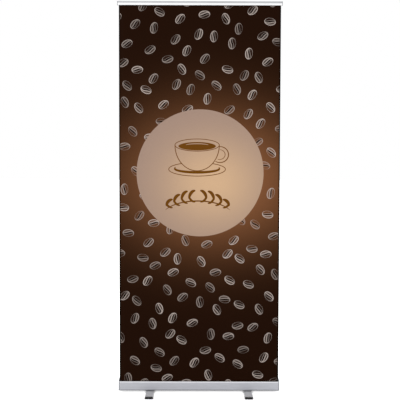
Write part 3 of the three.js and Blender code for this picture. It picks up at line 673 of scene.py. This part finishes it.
def unprinted_film(name, base):
    """The grey light-stopping back of the film, with coating streaks down it."""
    material, tree, surface = new_material(name)
    point = object_point(tree, ALONG_Z)
    lines = placed(tree, shared("drawn lines"), Point=point, Fineness=240.0)
    weave = noise(tree, object_point(tree), 900.0, 2.0)
    streaked = mixed(tree, lines["Lines"], tinted(base, 0.93), base)
    clouded = mixed(tree, times(tree, lines["Cloud"], 0.25), streaked, CLOUDED_FILM)
    feed(tree, surface.inputs["Base Color"], clouded)
    feed(tree, surface.inputs["Roughness"], ranged(tree, weave, 0.42, 0.6))
    bumped(tree, surface, weave, 0.00004)
    return material


# ---------------------------------------------------------------- the print


def glow(tree, point, centre_height, aside, below, squeeze, reach):
    """A soft round mask, 1 at its middle. squeeze is how much less it falls off sideways."""
    across = times(tree, calc(tree, "SUBTRACT", point["X"], aside), squeeze)
    up = calc(tree, "SUBTRACT", point["Y"], centre_height - below)
    reaches = calc(tree, "DIVIDE", hypotenuse(tree, across, up), reach)
    fall = calc(tree, "POWER", reaches, GLOW_FALLOFF)
    return calc(tree, "EXPONENT", times(tree, fall, -1.0))


def ellipse_fill(tree, point, middle, reach):
    across = in_reaches(tree, point["X"], middle[0], reach[0])
    up = in_reaches(tree, point["Y"], middle[1], reach[1])
    distance = times(tree, hypotenuse(tree, across, up), min(reach))
    return within(tree, distance, min(reach), LINE_SOFTNESS)


def stroke(tree, uv, middle, reach, width, start=0.0, sweep=1.0, taper=1.0):
    """An arc of an ellipse. start and sweep are in turns, and taper thins its ends."""
    return placed(
        tree, shared("drawn stroke"), Point=uv, Middle_X=middle[0], Middle_Y=middle[1],
        Reach_X=reach[0], Reach_Y=reach[1], Start=start, Sweep=sweep, Width=width, Taper=taper,
    )["Mask"]


def cup_drawing(tree, uv, point, x, z):
    """A plain full cup on its saucer. (x, z) is the middle of its rim."""
    rim = (0.117, 0.032)
    bowl = (rim[0], 0.136)
    handle_x, handle_z = x + rim[0] + 0.004, z - 0.05
    saucer_z = z - bowl[1] + 0.008
    drink = ellipse_fill(tree, point, (x, z - 0.006), (0.099, 0.022))
    shine = stroke(tree, uv, (x, z - 0.004), (0.068, 0.011), 0.004, start=0.08, sweep=0.34)
    cup = strongest(
        tree,
        stroke(tree, uv, (x, z), rim, 0.0036, taper=0.0),
        stroke(tree, uv, (x, z), bowl, 0.0042, start=0.5, sweep=0.5, taper=0.0),
        stroke(
            tree, uv, (handle_x, handle_z), (0.045, 0.042), 0.005,
            start=0.66, sweep=0.62, taper=0.35,
        ),
        stroke(
            tree, uv, (handle_x - 0.002, handle_z), (0.029, 0.026), 0.0034,
            start=0.69, sweep=0.55, taper=0.5,
        ),
    )
    saucer = strongest(
        tree,
        stroke(tree, uv, (x, saucer_z), (0.15, 0.036), 0.0038, taper=0.0),
        stroke(
            tree, uv, (x, saucer_z + 0.006), (0.118, 0.022), 0.014, start=0.46, sweep=0.58,
        ),
    )
    behind_bowl = inverse(tree, ellipse_fill(tree, point, (x, z), bowl))
    return strongest(
        tree, cup, times(tree, behind_bowl, saucer), times(tree, drink, inverse(tree, shine)),
    )


def leaf_ornament(tree, uv, x, z):
    """A curved sprig with a row of leaves on it, the same on both sides of its middle."""
    arc = {"start": 0.07, "sweep": 0.36}
    pieces = [stroke(tree, uv, (x, z - 0.075), (0.19, 0.085), 0.007, **arc)]
    for side in (-1, 1):
        for step, (rise, tall) in enumerate(LEAVES):
            leaf_x = x + side * (FIRST_LEAF + LEAF_PITCH * step)
            for lift, start, width, share in ((-0.01, 0.0, 0.017, 0.9), (0.01, 0.75, 0.012, 0.7)):
                first = start if side > 0 else (0.25 - start) % 1.0
                reach = (0.034, tall * share)
                middle = (leaf_x, z + rise + lift)
                pieces.append(stroke(tree, uv, middle, reach, width, start=first, sweep=0.25))
    return strongest(tree, *pieces)


def printed_film(name):
    """The front of the film: beans scattered on a dark ground with a warm glow, and a pale disc
    with its drawing."""
    size, tint = sizes(), colours()
    material, tree, surface = new_material(name)
    uv = node(tree, "ShaderNodeUVMap", uv_map="print").outputs[0]
    point = split_xyz(tree, uv)
    warmth = glow(tree, point, size.disc_height, **PRINT_GLOW)
    ground = mixed(tree, warmth, tint.print_dark, tint.print_glow)
    beans = placed(
        tree, shared("scattered beans"), Point=turned(tree, uv, (0, 0, BEAN_TILT)),
        Pitch=size.bean_pitch, Scatter=size.bean_scatter, Length=size.bean_length,
        Breadth=size.bean_width,
    )
    hollowed = mixed(tree, times(tree, beans["Hollow"], 0.75), ground, BEAN_CREASE)
    background = mixed(tree, times(tree, beans["Lines"], 0.92), hollowed, tint.bean_line)

    disc_middle = (DISC_X, size.disc_height)
    disc = ellipse_fill(tree, point, disc_middle, (size.disc_radius, size.disc_radius))
    disc_warmth = glow(tree, point, size.disc_height, **DISC_GLOW)
    disc_ground = mixed(tree, disc_warmth, tint.disc_rim, tint.disc_glow)
    cup_at, sprig_at = (
        [middle + offset for middle, offset in zip(disc_middle, offsets)]
        for offsets in (CUP_OFFSET, SPRIG_OFFSET)
    )
    drawing = strongest(
        tree, cup_drawing(tree, uv, point, *cup_at), leaf_ornament(tree, uv, *sprig_at),
    )
    picture = mixed(tree, disc, background, mixed(tree, drawing, disc_ground, tint.drawing))

    side_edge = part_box("banner_sheet")[1].x
    from_side = calc(tree, "SUBTRACT", side_edge, calc(tree, "ABSOLUTE", point["X"]))
    border = within(tree, from_side, size.print_margin, 0.001)
    bordered = mixed(tree, border, picture, PRINT_BORDER)
    dots = ranged(tree, noise(tree, uv, 1500.0, 1.0), 0.0, 0.08)
    feed(tree, surface.inputs["Base Color"], mixed(tree, dots, bordered, PRINT_DOTS))
    peel = noise(tree, uv, 420.0, 2.0)
    feed(tree, surface.inputs["Roughness"], ranged(tree, peel, 0.5, 0.62))
    bumped(tree, surface, peel, 0.00003)
    surface.inputs["Specular IOR Level"].default_value = 0.02
    return material


MATERIALS = {}


def finish_of(name):
    """The material of that name, made the first time that it is asked for."""
    tint = colours()
    extruded = (tint.aluminium, ALONG_X, 0.4, 0.6)
    makers = {
        "aluminium_x": lambda: drawn_metal(name, *extruded),
        "housing_aluminium": lambda: drawn_metal(name, *extruded, housing=True),
        "aluminium_y": lambda: drawn_metal(name, tint.foot_aluminium, ALONG_Y, 0.5, 0.35),
        "aluminium_z": lambda: drawn_metal(name, tint.aluminium, ALONG_Z, 0.34, 0.8),
        # the rail's top gets painted shade
        "bright_aluminium": lambda: drawn_metal(
            name, tint.bright_aluminium, ALONG_X, 0.3, 0.7, top=tint.rail_top_shade,
        ),
        "steel": lambda: turned_steel(name, tint.steel),
        "grey_plastic": lambda: moulded_plastic(name, tint.grey_plastic, 0.5),
        "black_plastic": lambda: moulded_plastic(name, tint.black_plastic, 0.45),
        "nylon": lambda: moulded_plastic(name, tint.nylon, 0.55, grain=2000.0),
        "rubber": lambda: soft_rubber(name, tint.rubber),
        "film_back": lambda: unprinted_film(name, tint.film_back),
        "film_front": lambda: printed_film(name),
    }
    if name not in MATERIALS:
        MATERIALS[name] = makers[name]()
    return MATERIALS[name]


# ---------------------------------------------------------------- mesh helpers


def body_of_node(name):
    for body, members in frame["record"]["behaviour"]["bodies"].items():
        if name in members:
            return body
    raise RuntimeError(f"no body holds {name}")


def placed_piece(name, mesh_data, body, *materials):
    piece = bpy.data.objects.new(name, mesh_data)
    bpy.context.scene.collection.objects.link(piece)
    for material in materials:
        piece.data.materials.append(finish_of(material))
    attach(piece, body)
    return piece


def smooth_by_angle(mesh):
    for face in mesh.polygons:
        face.use_smooth = True
    mesh.set_sharp_from_angle(angle=SHARP_ANGLE)


def edge_chamfer(piece, width, segments):
    """Rounds the piece's sharp edges a little, as tumbling, anodising and moulding do."""
    modifier = piece.modifiers.new("edge chamfer", "BEVEL")
    modifier.width = width
    modifier.segments = segments
    modifier.limit_method = "ANGLE"
    modifier.angle_limit = SHARP_ANGLE
    modifier.harden_normals = True
    modifier.use_clamp_overlap = True


def machined(node_name, material, width=None, segments=CHAMFER_SEGMENTS):
    """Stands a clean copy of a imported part, with rounded edges and smooth round faces, in the
    part's place."""
    mesh = bpy.data.meshes.new(f"{node_name}_finished")
    bm = bmesh.new()
    bm.from_mesh(NODES[node_name].data)
    bmesh.ops.remove_doubles(bm, verts=bm.verts[:], dist=WELD_DISTANCE)
    bmesh.ops.dissolve_limit(
        bm, angle_limit=FLAT_ANGLE, verts=bm.verts[:], edges=bm.edges[:],
        use_dissolve_boundaries=False,
    )
    bm.to_mesh(mesh)
    bm.free()
    heights = [vert.co.z for vert in mesh.vertices]
    bottom, top = min(heights), max(heights)
    rise = mesh.attributes.new("rise", "FLOAT", "POINT")
    for item, height in zip(rise.data, heights):
        item.value = (height - bottom) / (top - bottom)
    smooth_by_angle(mesh)
    piece = placed_piece(f"{node_name}_finished", mesh, body_of_node(node_name), material)
    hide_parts(node_name)
    edge_chamfer(piece, sizes().edge_width if width is None else width, segments)
    return piece


# ---------------------------------------------------------------- operators


class StandOperator(bpy.types.Operator):
    bl_options = {"REGISTER", "UNDO"}

    def execute(self, context):
        self.make()
        return {"FINISHED"}


class STAND_OT_studio(StandOperator):
    """Add the camera, the studio light and the pale floor"""
    bl_idname = "banner_stand.studio"
    bl_label = "Studio"

    def make(self):
        self.place_camera()
        self.light_room()
        self.lay_floor()

    def place_camera(self):
        scene = bpy.context.scene
        camera = bpy.data.objects.new("camera", bpy.data.cameras.new("camera"))
        scene.collection.objects.link(camera)
        camera.data.lens = CAMERA_LENS
        camera.data.sensor_width = CAMERA_SENSOR
        camera.data.clip_end = CAMERA_SIGHT
        camera.matrix_world = (
            Matrix.Translation(CAMERA_PLACE)
            @ Matrix.Rotation(CAMERA_HEADING, 4, "Z")
            @ Matrix.Rotation(CAMERA_PITCH, 4, "X")
            @ Matrix.Rotation(CAMERA_ROLL, 4, "Z")
        )
        scene.camera = camera
        scene.view_settings.view_transform = "Standard"

    def light_room(self):
        scene = bpy.context.scene
        world = bpy.data.worlds.new("studio")
        scene.world = world
        world.use_nodes = True
        backdrop = world.node_tree.nodes["Background"]
        backdrop.inputs["Color"].default_value = (1, 1, 1, 1)
        backdrop.inputs["Strength"].default_value = 1.0
        for name, place, size, power in LIGHTS:
            lamp = bpy.data.lights.new(name, "AREA")
            lamp.size = size
            lamp.energy = power
            holder = bpy.data.objects.new(name, lamp)
            scene.collection.objects.link(holder)
            aim = Vector(LIGHTS_AIM) - Vector(place)
            turn = aim.to_track_quat("-Z", "Y").to_matrix().to_4x4()
            holder.matrix_world = Matrix.Translation(place) @ turn

    def lay_floor(self):
        mesh = bpy.data.meshes.new("floor")
        bm = bmesh.new()
        bmesh.ops.create_grid(
            bm, x_segments=FLOOR_SQUARES, y_segments=FLOOR_SQUARES, size=FLOOR_HALF_WIDTH,
        )
        bm.to_mesh(mesh)
        bm.free()
        floor = bpy.data.objects.new("floor", mesh)
        bpy.context.scene.collection.objects.link(floor)
        material, tree, surface = new_material("studio_floor")
        tint = colours().floor
        mottled = mixed(tree, noise(tree, object_point(tree), 3.0, 2.0), tint, tinted(tint, 0.985))
        feed(tree, surface.inputs["Base Color"], mottled)
        surface.inputs["Roughness"].default_value = 0.75
        surface.inputs["Emission Color"].default_value = (1, 1, 1, 1)
        seen = tree.nodes.new("ShaderNodeLightPath").outputs["Is Camera Ray"]
        clear = node(tree, "ShaderNodeAmbientOcclusion", Distance=FLOOR_CONTACT).outputs["AO"]
        strength = times(tree, seen, clear, clear, clear, FLOOR_GLOW)
        feed(tree, surface.inputs["Emission Strength"], strength)
        mesh.materials.append(material)


class STAND_OT_banner(StandOperator):
    """Stretch the printed film from the housing to the rail"""
    bl_idname = "banner_stand.banner"
    bl_label = "Banner"

    def make(self):
        size = sizes()
        low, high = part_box("banner_sheet")
        width, height = high.x - low.x, high.z - low.z
        front = (low.y + high.y) / 2 - size.film_thickness / 2
        bm = bmesh.new()
        bmesh.ops.create_grid(
            bm, x_segments=size.film_columns, y_segments=size.film_rows, size=0.5,
        )
        bmesh.ops.scale(bm, vec=(width, height, 1), verts=bm.verts[:])
        upright = Matrix.Rotation(math.pi / 2, 3, "X")
        bmesh.ops.rotate(bm, matrix=upright, verts=bm.verts[:])
        bmesh.ops.translate(bm, vec=(0, front, (low.z + high.z) / 2), verts=bm.verts[:])
        bmesh.ops.recalc_face_normals(bm, faces=bm.faces[:])
        if bm.faces[:][0].normal.y > 0:
            bmesh.ops.reverse_faces(bm, faces=bm.faces[:])
        self.ripple(bm, width / 2)
        bmesh.ops.solidify(bm, geom=bm.faces[:], thickness=size.film_thickness)
        self.put_in_order(bm)
        prints = bm.loops.layers.uv.new("print")
        for face in bm.faces:
            face.material_index = 0 if face.normal.y <= -0.5 else 1
            face.smooth = abs(face.normal.y) > 0.5
            for loop in face.loops:
                loop[prints].uv = (loop.vert.co.x, loop.vert.co.z)
        mesh = bpy.data.meshes.new("banner")
        bm.to_mesh(mesh)
        bm.free()
        banner = placed_piece("banner", mesh, "base", "film_front", "film_back")
        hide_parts("banner_sheet")
        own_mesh(banner)

    def ripple(self, bm, half_width):
        """Moves the film out of flat where nothing holds it."""
        lip_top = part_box("base_housing")[1].z
        rail_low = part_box("rail_front_jaw")[0].z
        for vert in bm.verts:
            x, z = vert.co.x, vert.co.z
            free = self.freedom(z - lip_top) * self.freedom(rail_low - z)
            wave = math.sin(x * RIPPLE_ACROSS[0] + RIPPLE_ACROSS[1])
            wave *= math.sin(z * RIPPLE_UP[0] + RIPPLE_UP[1])
            curl = EDGE_CURL * (abs(x) / half_width) ** EDGE_CURL_POWER
            vert.co.y += sizes().film_ripple * free * (wave + curl)

    def put_in_order(self, bm):
        """Sorts edges and faces by place, because solidify leaves the rim's in no fixed order."""
        for parts in (bm.edges, bm.faces):
            parts.sort(
                key=lambda part: sum(vert.co.dot(SORTING) for vert in part.verts) / len(part.verts)
            )
            parts.index_update()

    def freedom(self, distance):
        """0 where something holds the film, and 1 well away from it."""
        return min(1.0, max(0.0, distance / FILM_GRIP))


class STAND_OT_housing(StandOperator):
    """Finish the housing, its end caps and their screws"""
    bl_idname = "banner_stand.housing"
    bl_label = "Housing"

    def make(self):
        machined("base_housing", "housing_aluminium")
        for side in ("left", "right"):
            machined(f"end_cap_{side}", "grey_plastic", CAP_EDGE)
            for place in ("front", "rear"):
                machined(f"cap_screw_{side}_{place}", "steel", THIN_EDGE)


class STAND_OT_roller(StandOperator):
    """Finish the roller, its spring and the turns of film on it"""
    bl_idname = "banner_stand.roller"
    bl_label = "Roller"

    def make(self):
        machined("roller_tube", "aluminium_x")
        machined("banner_roll", "film_back", FILM_EDGE)
        for node_name in ("roller_plug_left", "roller_plug_right", "spring_drive_collar"):
            machined(node_name, "nylon")
        for node_name in ("axle_screw", "spring_rod", "torsion_spring"):
            machined(node_name, "steel", WIRE_EDGE)


class STAND_OT_feet(StandOperator):
    """Finish the swivel feet with their caps and pivots"""
    bl_idname = "banner_stand.feet"
    bl_label = "Feet"

    def make(self):
        for side in ("left", "right"):
            machined(f"foot_{side}_bar", "aluminium_y")
            machined(f"foot_{side}_pivot_bolt", "steel", BOLT_EDGE)
            machined(f"foot_{side}_pivot_nut", "steel", CAP_EDGE)
            machined(f"foot_{side}_pivot_washer", "nylon", BOLT_EDGE)
            for end in ("front", "rear"):
                machined(
                    f"foot_{side}_cap_{end}", "black_plastic", FOOT_CAP_EDGE, FOOT_CAP_SEGMENTS,
                )


class STAND_OT_pole(StandOperator):
    """Finish the telescopic pole, its locks, its socket and its hook"""
    bl_idname = "banner_stand.pole"
    bl_label = "Pole"

    def make(self):
        for section in ("lower", "middle", "upper"):
            machined(f"pole_{section}_tube", "aluminium_z", THIN_EDGE)
            machined(f"pole_{section}_plug", "nylon", BOLT_EDGE)
        for lock in ("lower", "upper"):
            machined(f"lock_{lock}_ferrule", "nylon", THIN_EDGE)
            machined(f"lock_{lock}_collar", "black_plastic", CAP_EDGE)
        machined("pole_socket", "black_plastic", CAP_EDGE)
        machined("pole_hook", "black_plastic", CAP_EDGE)
        for side in ("left", "right"):
            machined(f"socket_screw_{side}", "steel", THIN_EDGE)


class STAND_OT_rail(StandOperator):
    """Finish the clamp rail that holds the film's top edge"""
    bl_idname = "banner_stand.rail"
    bl_label = "Clamp rail"

    def make(self):
        machined("rail_rear_jaw", "aluminium_x")
        machined("rail_front_jaw", "bright_aluminium")
        machined("rail_grip_strip", "rubber", THIN_EDGE)
        for side in ("left", "right"):
            machined(f"rail_cap_{side}", "grey_plastic", CAP_EDGE)


class STAND_PT_panel(bpy.types.Panel):
    """Lists the steps that build the banner stand"""
    bl_idname = "STAND_PT_panel"
    bl_label = "Banner stand"
    bl_space_type = "VIEW_3D"
    bl_region_type = "UI"
    bl_category = "Banner stand"

    def draw(self, context):
        for step in STEPS:
            self.layout.operator(step.bl_idname)
        for settings in (sizes(), colours()):
            for name in settings.__annotations__:
                self.layout.prop(settings, name)


STEPS = (
    STAND_OT_studio,
    STAND_OT_housing,
    STAND_OT_roller,
    STAND_OT_feet,
    STAND_OT_pole,
    STAND_OT_rail,
    STAND_OT_banner,
)
CLASSES = (StandSizes, StandColours, *STEPS, STAND_PT_panel)


def register():
    for cls in CLASSES:
        bpy.utils.register_class(cls)
    bpy.types.Scene.banner_stand_sizes = PointerProperty(type=StandSizes)
    bpy.types.Scene.banner_stand_colours = PointerProperty(type=StandColours)


def unregister():
    del bpy.types.Scene.banner_stand_colours
    del bpy.types.Scene.banner_stand_sizes
    for cls in reversed(CLASSES):
        bpy.utils.unregister_class(cls)


def main():
    register()
    bpy.ops.banner_stand.studio()
    bpy.ops.banner_stand.housing()
    bpy.ops.banner_stand.roller()
    bpy.ops.banner_stand.feet()
    bpy.ops.banner_stand.pole()
    bpy.ops.banner_stand.rail()
    bpy.ops.banner_stand.banner()


if __name__ == "__main__":
    main()
